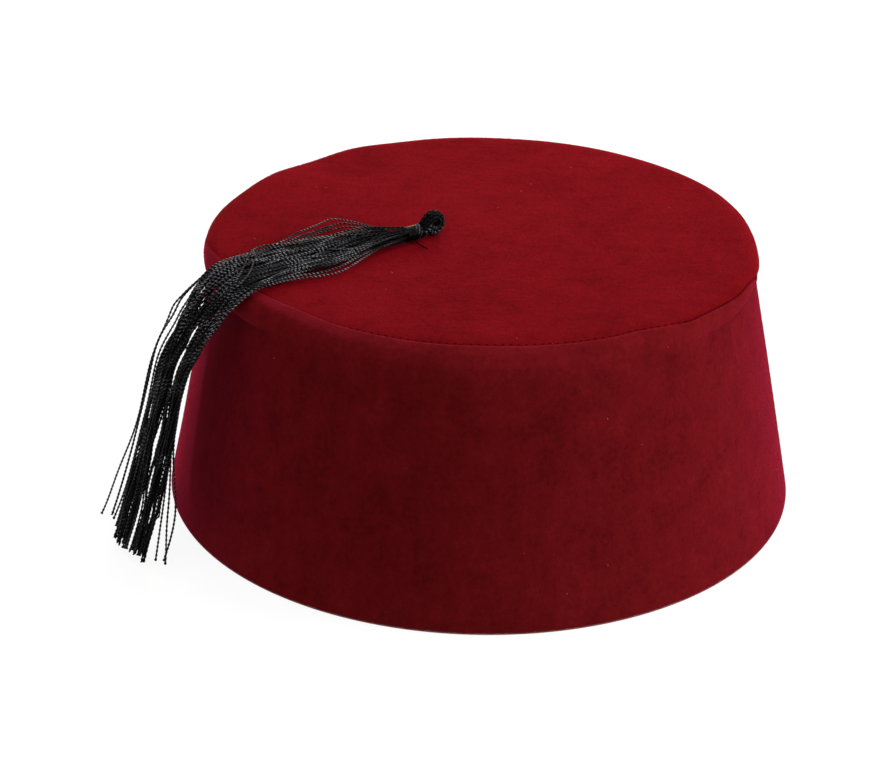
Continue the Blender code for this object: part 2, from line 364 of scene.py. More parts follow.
def polylines(name: str, paths: Iterable[Array], **columns: Iterable[Array]) -> Any:
    """A mesh of edges alone, which carries numbers on its points.

    Args:
        name: The mesh's name.
        paths: The points of each run of edges.
        columns: The numbers by name, one array for each path.

    Returns:
        The mesh.
    """
    paths = list(paths)
    starts = np.cumsum([0] + [len(path) for path in paths])
    edges = [(spot, spot + 1) for a, b in zip(starts, starts[1:]) for spot in range(a, b - 1)]
    mesh = bpy.data.meshes.new(name)
    mesh.from_pydata(np.vstack(paths).tolist(), edges, [])
    for label, values in columns.items():
        attribute = mesh.attributes.new(label, "FLOAT", "POINT")
        attribute.data.foreach_set("value", np.concatenate(list(values)).astype(np.float32))
    return mesh


def smooth_through(rows: Array, steps: int) -> Array:
    """Fills in rows of numbers along a smooth curve through them all.

    Args:
        rows: The rows.
        steps: How many rows each span between two of them gets.

    Returns:
        The rows and those between.
    """
    padded = np.vstack([rows[:1], rows, rows[-1:]])
    out = []
    for a, b, c, d in zip(padded, padded[1:], padded[2:], padded[3:]):
        for t in np.arange(steps) / steps:
            bend = 2 * a - 5 * b + 4 * c - d + t * (3 * (b - c) + d - a)
            out.append(b + 0.5 * t * (c - a + t * bend))
    return np.array(out + [rows[-1]])


def eased(share: "Array | float") -> Array:
    """A share, kept from 0 to 1, that starts and ends gently."""
    share = np.clip(share, 0.0, 1.0)
    return share * share * (3 - 2 * share)


# Finishes


class Lay(Enum):
    """Which way the nap of a felt piece is brushed."""

    DOWN = (0.0, 0.0, -1.0)
    SIDEWAYS = (-1.0, -0.25, 0.0)

    @property
    def streaks(self) -> Place:
        """How fast brushed streaks change along each axis: slowly along the lay."""
        return (1.0, 1.0, 0.22) if self is Lay.DOWN else (0.30, 1.0, 1.0)


@dataclass(frozen=True)
class FeltFinish:
    """Red fur felt: clouded where hands have turned the nap, and raw at its cut edge; painted light makes
    it lighter just under a set height, at the top of the side band.
    """

    # These grounds are the side band's: darker than the top disc's, as painted shade.
    ground: Colour = (0.100, 0.0038, 0.0049, 1.0)
    turned: Colour = (0.072, 0.0027, 0.0036, 1.0)
    raised: Colour = (0.129, 0.0052, 0.0069, 1.0)
    cut_edge: Colour = (0.20, 0.115, 0.105, 1.0)
    bloom: Colour = (1.0, 0.014, 0.13, 1.0)
    bloom_weight: float = 0.30
    gloss: float = 0.010
    cloud: float = 26 * MM
    blotch: float = 7 * MM
    nap: float = 1.5 * MM
    grain: float = 0.35 * MM
    streak: float = 4 * MM
    even_tone: float = 1.48
    edge_height: float = 0.7 * MM
    # The felt is painted lighter in the 5 mm under this height, by this share of tone: painted light from
    # above on the top of the side band.
    lit_height: float = 76 * MM
    top_light: float = 0.22

    def material(self, name: str, lay: Lay) -> Any:
        """The felt's material.

        Args:
            name: Its name.
            lay: Which way its nap is brushed.

        Returns:
            The material.
        """
        surface = Surface(name)
        graph, place = surface.graph, surface.place
        cloud = graph.noise(place, self.cloud, 3.0, 0.8)
        blotch = graph.noise(place, self.blotch, 4.0, 0.6)
        nap = graph.noise(place, self.nap, 3.0, 0.3)
        grain = graph.noise(place, self.grain, 2.0)
        height = graph.parts(place)[2]
        # Painted light: the felt grows lighter in the 5 mm under its lit height.
        painted_light = height.ramped(self.lit_height - 5 * MM, self.lit_height)
        brushed = graph.vector("MULTIPLY", place, lay.streaks)
        streak = graph.noise(brushed, self.streak, 3.0, 0.4)
        fine = nap * 0.9 + grain * 0.8 + painted_light * self.top_light
        tone = cloud * 0.9 + blotch * 0.8 + streak * 0.55 + fine - self.even_tone
        dark = graph.blend(tone.ramped(0.52, 0.12), self.ground, self.turned)
        colour = graph.blend(tone.ramped(0.50, 1.0), dark, self.raised)
        ragged = height + nap * (0.6 * MM)
        edge = ragged.ramped(self.edge_height * 1.5, self.edge_height)
        colour = graph.blend(edge * 0.75, colour, self.cut_edge)
        surface.set(Base_Color=colour, Roughness=nap * 0.12 + 0.86, Specular_IOR_Level=self.gloss)
        surface.set(Sheen_Weight=self.bloom_weight, Sheen_Roughness=0.38, Sheen_Tint=self.bloom)
        surface.bump(grain * 0.5 + nap * 0.4 + streak * 0.25, 0.35 * MM, 0.6)
        return surface.material


@dataclass(frozen=True)
class FibreFinish:
    """Fine fibres of one colour that varies a little from place to place."""

    ground: Colour
    light: Colour
    patch: float = 2 * MM

    def material(self, name: str) -> Any:
        """The fibres' material.

        Args:
            name: Its name.

        Returns:
            The material.
        """
        surface = Surface(name)
        patch = surface.graph.noise(surface.place, self.patch, 2.0)
        colour = surface.graph.blend(patch.ramped(0.35, 0.7), self.ground, self.light)
        surface.set(Base_Color=colour, Roughness=patch * 0.2 + 0.75, Specular_IOR_Level=0.0)
        return surface.material


@dataclass(frozen=True)
class CordFinish:
    """Near-black silky cord with painted light: a helical stripe on the crest of each ply is a painted
    highlight, the furrow between the plies is painted shade, and the painted highlights fade near the
    neck, in the hanging fall and in random patches.
    """

    # The first colour is painted shade in the furrow between plies, and the third is the painted
    # highlight on each ply's crest.
    groove_shade: Colour = (0.0008, 0.0008, 0.0011, 1.0)
    ground: Colour = (0.0022, 0.0021, 0.0027, 1.0)
    crown: Colour = (0.300, 0.290, 0.310, 1.0)
    lay: float = 2.9 * MM
    ply_pitch: float = 2.36 * MM
    fibre_turns: float = 7.0
    gloss: float = 0.08
    # Where the painted highlights weaken: in random patches of this size, as painted shade from the neck
    # out to the spread, and by a share down the hanging fall.
    patch: float = 7 * MM
    neck: float = 2 * MM
    spread: float = 24 * MM
    fall: float = 76 * MM
    fall_fade: float = 35 * MM
    fall_shade: float = 0.32

    def material(self, name: str) -> Any:
        """The cord's material, which reads what each strand carries on its points.

        Args:
            name: Its name.

        Returns:
            The material.
        """
        surface = Surface(name)
        graph = surface.graph
        along, tint = surface.column("along"), surface.column("tint")
        wide, flat, _ = graph.parts(surface.column("girth", "Vector"))
        ply = wide * wide - flat * flat
        fuzz = graph.noise(surface.place, 0.5 * MM, 3.0)
        angle = flat.angle_to(wide)
        crest = (angle + fuzz * 3.0 - along * (math.tau / self.ply_pitch)).sine()
        fibre = (angle * self.fibre_turns - along * (math.tau * 2 / self.lay)).sine() * 0.5 + 0.5
        # Painted shade: darker in the furrow between the plies.
        sunk = graph.blend(ply.ramped(-0.9, 0.3), self.groove_shade, self.ground)
        # Painted shade near the binding and down the hanging fall: the painted highlights are weaker
        # there.
        free = along.ramped(self.neck, self.spread)
        patch = graph.noise(surface.place, self.patch, 2.0).ramped(0.36, 0.66)
        share = patch * 0.5 + fuzz * 0.5 + tint * 0.4
        hung = along.ramped(self.fall, self.fall + self.fall_fade)
        shown = (free * 0.6 + 0.4) * (1.0 - hung * self.fall_shade)
        # Painted highlight: a helical stripe on each ply's crest, in the pale crown colour.
        painted_light = crest.ramped(0.30, 1.0) * share * shown
        colour = graph.blend(painted_light.ramped(0.3, 1.15), sunk, self.crown)
        rough = fuzz * 0.22 + 0.45 - free * 0.25
        surface.set(Base_Color=colour, Roughness=rough, Specular_IOR_Level=self.gloss)
        surface.bump(fibre * 0.5 + fuzz * 0.4 + crest * 0.5, 0.08 * MM, 0.7)
        return surface.material


# The hat


class RimRow(NamedTuple):
    """Where the seam runs on the roll, and how far the roll stands out, at one bearing."""

    bearing: float
    seam: float
    proud: float


@dataclass(frozen=True)
class CrownShape:
    """The fez's outside: a tapered band, a rolled edge and a flat top."""

    girth: float = 0.582
    felt: float = 2.4 * MM
    rim_radius: float = 80.4 * MM
    height: float = 80.2 * MM
    roll_radius: float = 4.5 * MM
    roll_proud: float = 2.4 * MM
    seam_inset: float = 4.0 * MM
    rim: tuple[RimRow, ...] = (
        RimRow(0.0, 0.05, 0.50),
        RimRow(30.0, 0.05, 1.15),
        RimRow(60.0, 0.06, 0.85),
        RimRow(85.0, 0.08, 0.65),
        RimRow(125.0, 0.15, 0.60),
        RimRow(172.0, 0.35, 1.00),
        RimRow(202.0, 0.80, 0.75),
        RimRow(228.0, 0.97, 0.20),
        RimRow(270.0, 1.00, 0.00),
        RimRow(303.0, 0.86, 0.10),
        RimRow(320.0, 0.55, 0.30),
        RimRow(340.0, 0.42, 0.45),
        RimRow(360.0, 0.05, 0.50),
    )

    @property
    def base_radius(self) -> float:
        """Outside radius at the lower edge."""
        return self.girth / math.tau + self.felt

    @property
    def roll_height(self) -> float:
        """Height of the middle of the roll."""
        return self.height - self.roll_radius

    def band_radius(self, height: "Array | float") -> "Array | float":
        """Outside radius of the side band at a height."""
        return self.base_radius + (self.rim_radius - self.base_radius) * height / self.roll_height

    def rim_at(self, bearings: Array) -> tuple[Array, Array]:
        """Eases between the rows of the rim.

        Args:
            bearings: Where on the rim.

        Returns:
            The seam and proud shares there.
        """
        table = np.array(self.rim)
        bearings = np.mod(bearings, 360.0)
        after = np.searchsorted(table[:, 0], bearings, side="right")
        low, high = table[after - 1], table[after]
        share = eased((bearings - low[:, 0]) / (high[:, 0] - low[:, 0]))
        rows = low + (high - low) * share[:, None]
        return rows[:, 1], rows[:, 2]


class RolledEdge:
    """The outside of the rolled edge at many bearings, measured along from its foot."""

    def __init__(self, crown: CrownShape, bearings: Array) -> None:
        """Works out the roll's lengths.

        Args:
            crown: The hat's shape.
            bearings: Where on the rim.
        """
        seam, proud = crown.rim_at(bearings)
        self.crown = crown
        self.share = seam
        self.start = -np.arccos(1 - crown.roll_proud * proud / crown.roll_radius)
        self.foot_height = crown.roll_height + crown.roll_radius * np.sin(self.start)
        foot_radius = crown.band_radius(self.foot_height)
        self.centre_radius = foot_radius - crown.roll_radius * np.cos(self.start)
        self.arc = crown.roll_radius * (math.pi / 2 - self.start)
        self.seam = (self.arc + crown.seam_inset) * seam

    def spots(self, along: Array, depth: Array) -> tuple[Array, Array]:
        """Finds points of the roll or under it.

        Args:
            along: Lengths along the roll from its foot.
            depth: Depths under its surface.

        Returns:
            Radii and heights.
        """
        crown = self.crown
        angle = self.start + np.minimum(along, self.arc) / crown.roll_radius
        reach = crown.roll_radius - depth
        flat = np.maximum(along - self.arc, 0.0)
        radius = self.centre_radius + reach * np.cos(angle) - flat
        return radius, crown.roll_height + reach * np.sin(angle)


@dataclass
class FeltCrown:
    """The two felt pieces of the hat, sewn together at the rim."""

    crown: CrownShape = field(default_factory=CrownShape)
    bearings: int = 384
    wall_rows: int = 30
    roll_rows: int = 14
    turn_rows: int = 7
    top_rows: int = 26
    inner_rows: int = 9
    seam_gap: float = 0.08 * MM
    band_turn: float = 1.5 * MM
    top_turn: float = 7.5 * MM
    turn_drop: float = 1.2 * MM
    hem_round: float = 0.5 * MM
    stitch_pitch: float = 2.2 * MM
    stitch_depth: float = 0.22 * MM
    nap_start: float = 1.0 * MM
    pucker: float = 0.11
    wall_wave: float = 0.22 * MM
    top_wave: float = 0.22 * MM
    ripple: float = 0.35 * MM
    ripple_bearing: float = 121.0
    ripple_length: float = 25.0
    # How deep the seam's turned edges sink, as bearings and shares.
    sinking: tuple[tuple[float, ...], tuple[float, ...]] = (
        (0.0, 30.0, 70.0, 110.0, 150.0, 225.0, 240.0, 262.0, 325.0, 360.0),
        (0.6, 0.8, 0.5, 0.3, 0.12, 0.12, 0.40, 1.0, 1.0, 0.6),
    )
    shoulder_cut: float = 1.3 * MM
    shoulder_reach: float = 18.0 * MM
    roll_flat: float = 1.15 * MM
    fold_bearings: tuple[float, float] = (204.0, 197.5)
    fold_height: float = 1.1 * MM
    fold_width: float = 6.0

    def __post_init__(self) -> None:
        """Works out the roll round the whole rim."""
        self.around = np.arange(self.bearings) * (360.0 / self.bearings)
        self.edge = RolledEdge(self.crown, self.around)

    def _wall_wave(self, heights: Array) -> Array:
        """The unevenness of the side.

        Args:
            heights: Heights, by row and bearing.

        Returns:
            How far the felt stands out of true there.
        """
        angle = np.radians(self.around)
        rise = heights / self.crown.height
        wave = np.sin(3 * angle + 2.1 * rise + 0.6) + 0.7 * np.sin(7 * angle - 3.3 * rise + 1.9)
        wave += 0.5 * np.sin(12 * angle + 5.1 * rise + 4.0)
        lower, upper = self.fold_bearings
        fold = np.exp(-np.abs(self.around - lower - (upper - lower) * rise) / self.fold_width)
        ends = eased(rise * 4)
        return (self.wall_wave * 0.5 * wave + self.fold_height * fold) * ends

    def _softened(self) -> Array:
        """The share of the full softening that the shoulder has at each bearing."""
        return eased(1 - 2 * self.crown.rim_at(self.around)[1])

    def _rim_ripple(self) -> Array:
        """The slack waves in the back left of the rim.

        Returns:
            A depth for each bearing.
        """
        off = self.around - self.ripple_bearing
        near = np.exp(-(((off - self.ripple_length / 2) / (1.1 * self.ripple_length)) ** 2))
        return -self.ripple * near * np.cos(np.radians(off * 360 / self.ripple_length))

    def _pucker(self, width: float) -> Array:
        """Draws up a turned-in edge a little at each stitch.

        Args:
            width: Its width.

        Returns:
            The width at each bearing.
        """
        arc = np.radians(self.around) * self.crown.rim_radius
        draw = np.sin(arc * math.tau / self.stitch_pitch) + 0.6 * np.sin(arc * 211.0 + 0.7)
        return width * (1 + self.pucker * draw)

    def _turned(self, count: int, width: Array) -> tuple[Array, Array]:
        """The rows of an edge that turns in at the seam.

        Args:
            count: How many rows.
            width: The edge's width at each bearing.

        Returns:
            Distances from the seam and depths, from the seam outwards.
        """
        share = (1 - np.cos(np.linspace(0.0, math.pi / 2, count)))[:, None]
        sunk = self.turn_drop * np.interp(self.around, *self.sinking)
        drop = np.minimum(sunk, 0.8 * width)
        return share * width, drop * (1 - np.sqrt(1 - (1 - share) ** 2))

    def side_outside(self) -> Array:
        """The side band's outside.

        Returns:
            Rows of points from the hem up and over the roll to the seam.
        """
        crown, edge = self.crown, self.edge
        turn = np.linspace(0.0, math.pi / 2, 5)[:, None]
        hem_height = self.hem_round * (1 - np.cos(turn)) * np.ones_like(self.around)
        hem_in = self.hem_round * (1 - np.sin(turn))
        share = 1 - (1 - np.linspace(0.0, 1.0, self.wall_rows + 1)[1:, None]) ** 1.6
        heights = self.hem_round + (edge.foot_height - self.hem_round) * share
        rows = [polar(self.around, crown.band_radius(hem_height) - hem_in, hem_height)]
        ripple = self._rim_ripple() * eased(share)
        wave = self._wall_wave(heights) * eased((1 - share) * 2.2)
        soft = self._softened()
        cut = self.shoulder_cut * soft
        below = np.clip(1 - (edge.foot_height - heights) / self.shoulder_reach, 0.0, 1.0)
        lean = wave - ripple - cut * below**2
        rows.append(polar(self.around, crown.band_radius(heights) + lean, heights))
        end = edge.seam - self.seam_gap / 2
        width = np.minimum(self._pucker(self.band_turn), 0.6 * end)
        share = np.linspace(0.0, 1.0, self.roll_rows + 1)[1:-1, None]
        off, depth = self._turned(self.turn_rows, width)
        along = np.vstack([(end - width) * share, end - off[::-1]])
        depth = np.vstack([np.zeros((len(share), self.bearings)), depth[::-1]])
        way = along / end
        carry = 2 * end / self.shoulder_reach * way * (1 - way) ** 2
        depth = depth + cut * ((1 + 2 * way) * (1 - way) ** 2 + carry)
        depth += self.roll_flat * soft * np.sin(math.pi * np.clip(way, 0.0, 1.0)) ** 1.3
        rows.append(polar(self.around, *edge.spots(along, depth + self._rim_ripple())))
        return np.vstack(rows)

    def side_inside(self) -> Array:
        """The side band's inside.

        Returns:
            Rows of points from the seam down to the hem.
        """
        crown, edge = self.crown, self.edge
        end = edge.seam - self.seam_gap / 2
        share = np.linspace(1.0, 0.0, self.inner_rows)[:, None]
        depth = crown.felt + self._rim_ripple() + np.zeros_like(end * share)
        rows = [polar(self.around, *edge.spots(end * share, depth))]
        shoulder = edge.foot_height - crown.felt
        share = np.linspace(1.0, 0.0, self.inner_rows)[:, None]
        heights = self.hem_round + (shoulder - self.hem_round) * share
        rows.append(polar(self.around, crown.band_radius(heights) - crown.felt, heights))
        turn = np.linspace(math.pi / 2, 0.0, 4)[1:, None]
        hem_height = self.hem_round * (1 - np.cos(turn)) * np.ones_like(self.around)
        hem_in = crown.felt - self.hem_round * (1 - np.sin(turn))
        rows.append(polar(self.around, crown.band_radius(hem_height) - hem_in, hem_height))
        return np.vstack(rows)

    def _top_height(self, points: Array) -> Array:
        """The unevenness of the top disc.

        Args:
            points: Where on it.

        Returns:
            How far it stands out of true there.
        """
        x, y = points[..., 0] / self.crown.rim_radius, points[..., 1] / self.crown.rim_radius
        wave = np.sin(4.2 * x + 1.5 * y + 0.4) * np.cos(3.6 * y - 1.2 * x + 1.1)
        wave += 0.5 * np.sin(9.1 * x - 5.2 * y + 2.0) * np.cos(7.7 * y + 3.0 * x)
        inside = eased((1 - np.hypot(x, y)) * 3.0)
        return self.top_wave * wave * inside

    def top_outside(self) -> Array:
        """The top disc's outside.

        Returns:
            Rows of points from the seam in to the middle.
        """
        edge = self.edge
        start = edge.seam + self.seam_gap / 2
        width = self._pucker(1.0) * (self.band_turn + (self.top_turn - self.band_turn) * edge.share)
        off, depth = self._turned(self.turn_rows + 3, width)
        inner = start + width
        end = edge.arc + edge.centre_radius - 0.4 * MM
        share = np.linspace(0.0, 1.0, self.top_rows + 1)[1:, None] ** 1.35
        along = np.vstack([start + off, inner + (end - inner) * share])
        depth = np.vstack([depth, np.zeros((len(share), self.bearings))])
        fade = np.exp(-np.maximum(along - edge.arc, 0.0) / (6 * MM))
        points = polar(self.around, *edge.spots(along, depth + self._rim_ripple() * fade))
        points[..., 2] += self._top_height(points)
        return points

    def top_inside(self) -> Array:
        """The top disc's underside.

        Returns:
            Rows of points from the middle out to the seam.
        """
        edge = self.edge
        start = edge.seam + self.seam_gap / 2
        end = edge.arc + edge.centre_radius - 0.4 * MM
        share = np.linspace(1.0, 0.0, self.inner_rows + 6)[:, None]
        along = start + (end - start) * share
        return polar(self.around, *edge.spots(along, self.crown.felt + np.zeros_like(along)))

    def seam_path(self) -> Array:
        """The seam's line round the hat, just under the felt's surface.

        Returns:
            Its points, the last at the first.
        """
        depth = np.full(self.bearings, self.stitch_depth)
        ring = polar(self.around, *self.edge.spots(self.edge.seam, depth))
        return np.vstack([ring, ring[:1]])

    def nap_host(self, side: bool) -> Any:
        """The mesh that nap grows on.

        Args:
            side: Whether it is the side band's and not the top disc's.

        Returns:
            The mesh.
        """
        rows = self.top_outside()
        if side:
            level = np.full(self.bearings, self.nap_start)
            start = polar(self.around, self.crown.band_radius(level), level)
            outside = self.side_outside()
            rows = np.vstack([start[None], outside[outside[:, 0, 2] > 2 * self.nap_start]])
        return loft("nap_host", rows, False, False)

    def build(self) -> dict[str, Any]:
        """Makes both felt pieces.

        Returns:
            The pieces by the CAD node that each stands for.
        """
        side = loft("felt_side", np.vstack([self.side_outside(), self.side_inside()]), True, False)
        rows = np.vstack([self.top_inside(), self.top_outside()])
        top = loft("felt_top", rows, False, True)
        return {"crown_side": add_object(side.name, side), "crown_top": add_object(top.name, top)}


@dataclass
class SeamStitches:
    """The stitches that show where the top disc is sewn to the side band."""

    pitch: float = 2.2 * MM
    length: float = 0.95 * MM
    thread: float = 0.24 * MM
    looseness: float = 0.35
    seed: int = 5

    def growth(self) -> Growth:
        """The tree that lays a stitch at each step of a line.

        Returns:
            The tree.
        """
        growth = Growth("seam_stitches", **asdict(self))
        graph, add, size = growth.graph, growth.add, growth.size
        line = {"Curve": add("MeshToCurve", Mesh=size("Geometry")), "Length": size("pitch")}
        points = add("CurveToPoints", settings={"mode": "LENGTH"}, **line)
        ball = add("MeshUVSphere", Segments=6, Rings=4, Radius=0.5)
        thread = size("thread")
        girth = graph.add("ShaderNodeCombineXYZ", X=thread, Y=thread, Z=size("length"))
        slack = graph.random_vector(size("looseness"), size("seed"))
        way = graph.vector("ADD", points.other("Tangent"), slack)
        growth.strew(points, add("Transform", Geometry=ball, Scale=girth), way)
        return growth

    def build(self, seam: Array, finish: Any) -> Any:
        """Sews the stitches along the seam."""
        return self.growth().grow("seam_stitches", polylines("seam", [seam]), finish)


@dataclass
class FeltNap:
    """Short fibres brushed one way over a felt piece."""

    length: float = 0.55 * MM
    thickness: float = 0.075 * MM
    stand: float = 0.42
    scatter: float = 0.55
    sunk: float = 0.06 * MM
    seed: int = 3

    def growth(self, lay: Lay, density: float) -> Growth:
        """The tree that scatters fibres over a mesh.

        Args:
            lay: Which way they are brushed.
            density: Fibres per square metre.

        Returns:
            The tree.
        """
        growth = Growth("brushed_nap", **asdict(self), lay=lay.value, density=density)
        graph, add, size = growth.graph, growth.add, growth.size
        spread = {"Mesh": size("Geometry"), "Density": size("density"), "Seed": size("seed")}
        points = add("DistributePointsOnFaces", **spread)
        girth = size("thickness") * 0.5
        cone = {"Vertices": 3, "Radius_Top": 0.0, "Radius_Bottom": girth, "Depth": size("length")}
        fibre = add("MeshCone", **cone)
        down = graph.add("ShaderNodeCombineXYZ", Z=size("sunk") * -1.0)
        fibre = add("Transform", Geometry=fibre, Translation=down)
        upright = graph.vector("SCALE", points.other("Normal"), Scale=size("stand"))
        slack = graph.random_vector(size("scatter"), size("seed"))
        way = graph.vector("ADD", graph.vector("ADD", upright, size("lay")), slack)
        growth.strew(points, fibre, way)
        return growth

    def build(self, name: str, host: Any, count: int, lay: Lay, finish: Any) -> Any:
        """Grows the fibres.

        Args:
            name: The new piece's name.
            host: The mesh that they stand on.
            count: About how many there are.
            lay: Which way they are brushed.
            finish: Their material.

        Returns:
            The piece.
        """
        area = sum(face.area for face in host.polygons)
        return self.growth(lay, count / area).grow(name, host, finish)


def dress(piece: Any, finish: "Any | None", slot: str, *nodes: str) -> Any:
    """Gives a piece its material and body, and hides the CAD nodes that it stands for.

    Args:
        piece: The object.
        finish: Its material, or nothing where it has one already.
        slot: Not used.
        nodes: The CAD nodes that it replaces.

    Returns:
        The piece.
    """
    if finish is not None:
        piece.data.materials.clear()
        piece.data.materials.append(finish)
    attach(piece, "root")
    if nodes:
        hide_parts(*nodes)
    log.info("%s: %d faces", piece.name, len(piece.data.polygons))
    return piece


@dataclass
class FeltHat:
    """The hat's felt: its two pieces, and the nap, lint and stitches on them."""

    crown: FeltCrown = field(default_factory=FeltCrown)
    side: FeltFinish = FeltFinish()
    # The top disc is the same felt as the side band with a lighter, less blue ground; the side band's
    # darker ground is painted shade.
    top: FeltFinish = FeltFinish(
        ground=(0.116, 0.0022, 0.0036, 1.0),
        turned=(0.081, 0.0015, 0.0025, 1.0),
        raised=(0.146, 0.0033, 0.0053, 1.0),
        bloom=(1.0, 0.010, 0.06, 1.0),
        bloom_weight=0.22,
        gloss=0.009,
        lit_height=1.0,
    )
    fur: FibreFinish = FibreFinish((0.120, 0.0036, 0.0050, 1.0), (0.185, 0.0066, 0.0090, 1.0))
    thread: FibreFinish = FibreFinish((0.022, 0.0008, 0.0012, 1.0), (0.050, 0.0020, 0.0026, 1.0))
    fluff: FibreFinish = FibreFinish((0.30, 0.16, 0.15, 1.0), (0.42, 0.30, 0.27, 1.0))
    nap: FeltNap = field(default_factory=FeltNap)
    lint: FeltNap = field(
        default_factory=lambda: FeltNap(0.75 * MM, 0.11 * MM, 0.10, 2.2, sunk=0.0, seed=8)
    )
    # How many fibres and specks of lint lie on each piece.
    fibres: tuple[int, int] = (32000, 20000)
    specks: tuple[int, int] = (42, 26)

    def build(self) -> None:
        """Makes and dresses the felt's pieces."""
        pieces = self.crown.build()
        side = self.side.material("felt_side", Lay.DOWN)
        top = self.top.material("felt_top", Lay.SIDEWAYS)
        dress(pieces["crown_side"], side, "felt", "crown_side")
        dress(pieces["crown_top"], top, "felt", "crown_top")
        fur, fluff = self.fur.material("felt_nap"), self.fluff.material("lint")
        rows = zip(("side", "top"), (Lay.DOWN, Lay.SIDEWAYS), self.fibres, self.specks)
        for name, lay, fibres, specks in rows:
            host = self.crown.nap_host(name == "side")
            dress(self.lint.build(f"lint_{name}", host.copy(), specks, lay, fluff), None, "felt")
            dress(self.nap.build(f"nap_{name}", host, fibres, lay, fur), None, "felt")
        thread = self.thread.material("sewing_thread")
        dress(SeamStitches().build(self.crown.seam_path(), thread), None, "felt")


# The tassel


class FanRow(NamedTuple):
    """One row of the tassel's way from its binding over the rim and down.

    Up to the rim, far is the share of the way there, and after it the height as a share of the
    hat's. Breadth is a share of the fan's, and shift is a sideways bow over the top and the
    distance from the side band in the fall, each a share. Low and high are the edges of the
    bunch of strands across the fan.
    """

    far: float
    breadth: float
    shift: float
    low: float
    high: float


OVER_TOP = (
    FanRow(0.00, 0.14, 0.00, -0.95, 1.25),
    FanRow(0.12, 0.38, 0.02, -0.48, 1.60),
    FanRow(0.30, 0.78, 0.09, -0.50, 1.00),
    FanRow(0.52, 1.00, 0.15, -0.64, 0.72),
    FanRow(0.76, 0.92, 0.13, -0.64, 0.86),
    FanRow(1.00, 0.84, 0.05, -0.64, 1.08),
)
DOWN_SIDE = (
    FanRow(0.968, 0.80, 0.37, -0.78, 0.98),
    FanRow(0.918, 0.77, 0.52, -0.78, 0.90),
    FanRow(0.850, 0.75, 0.63, -0.74, 0.84),
    FanRow(0.700, 0.74, 0.79, -0.56, 0.90),
    FanRow(0.450, 0.77, 0.85, -0.53, 0.98),
    FanRow(0.200, 0.83, 0.92, -0.56, 0.96),
    FanRow(0.000, 0.92, 1.00, -0.48, 0.92),
)


class Parting(NamedTuple):
    """A slit between strands, from one row to another, as it lies across the fan."""

    start: float
    end: float
    place: float
    drift: float
    width: float


PARTINGS = (
    Parting(6.60, 7.05, 0.30, 0.00, 0.04),
    Parting(7.60, 8.15, -0.05, 0.03, 0.05),
    Parting(8.00, 8.45, 0.48, 0.02, 0.04),
    Parting(8.40, 9.35, 0.00, 0.00, 0.08),
    Parting(8.60, 9.00, 0.68, 0.03, 0.04),
    Parting(9.50, 10.00, 0.80, -0.02, 0.06),
    Parting(9.20, 9.60, 0.46, 0.02, 0.05),
    Parting(9.60, 10.40, 0.20, 0.05, 0.10),
    Parting(9.95, 10.40, -0.15, 0.00, 0.05),
    Parting(10.40, 10.90, 0.50, -0.04, 0.05),
    Parting(10.35, 10.90, -0.02, 0.04, 0.06),
    Parting(10.85, 12.10, 0.14, 0.04, 0.07),
    Parting(10.20, 11.15, -0.40, -0.10, 0.08),
    Parting(11.00, 12.30, 0.60, -0.10, 0.06),
    Parting(11.10, 12.60, -0.14, 0.02, 0.06),
    Parting(10.30, 11.40, 0.78, 0.04, 0.06),
)


class Stray(NamedTuple):
    """A strand outside the bunch: its place across at each row of the way, its fall and layer."""

    across: tuple[float, ...]
    length: float
    layer: float = 0.5


